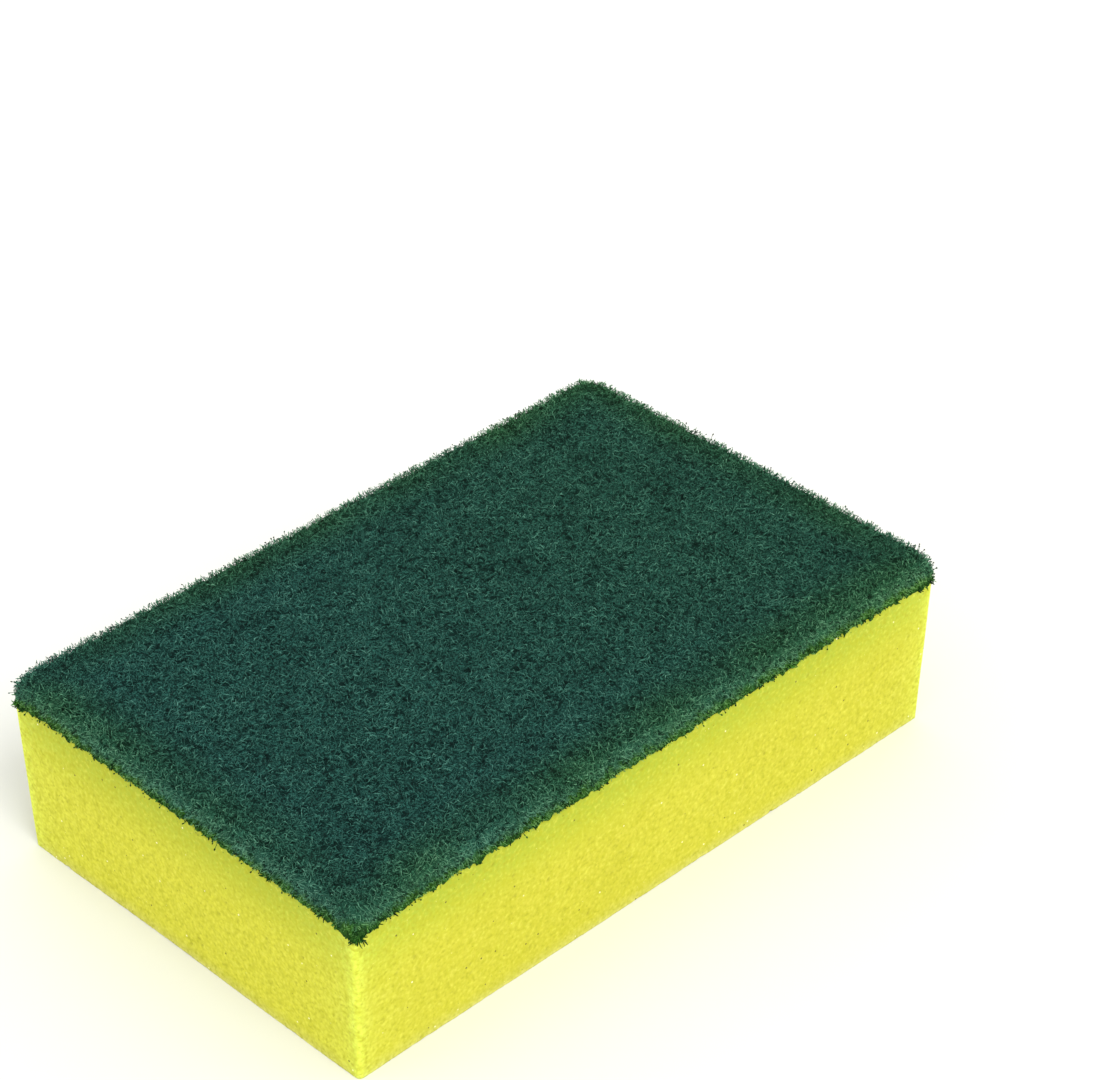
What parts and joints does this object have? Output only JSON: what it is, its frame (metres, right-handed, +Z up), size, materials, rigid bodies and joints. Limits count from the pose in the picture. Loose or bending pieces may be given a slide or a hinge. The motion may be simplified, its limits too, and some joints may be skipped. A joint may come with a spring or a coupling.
{
  "type": "cleaning sponge",
  "caption": "Rectangular cleaning sponge: a soft open-cell foam block with a coarse fibre scouring pad bonded over its top face.",
  "frame": {"origin": "centre of the foam's underside, on the surface that the sponge rests on", "axes": "+X along the length, +Y across the width, +Z up through the foam to the scouring pad"},
  "size_m": [0.14, 0.0874, 0.037],
  "materials": {
    "foam": "matte open-cell foam",
    "fibre_web": "coarse resin-bonded fibre"
  },
  "bodies": {
    "root": {"foam_block": "foam", "scouring_pad": "fibre_web"}
  },
  "joints": []
}
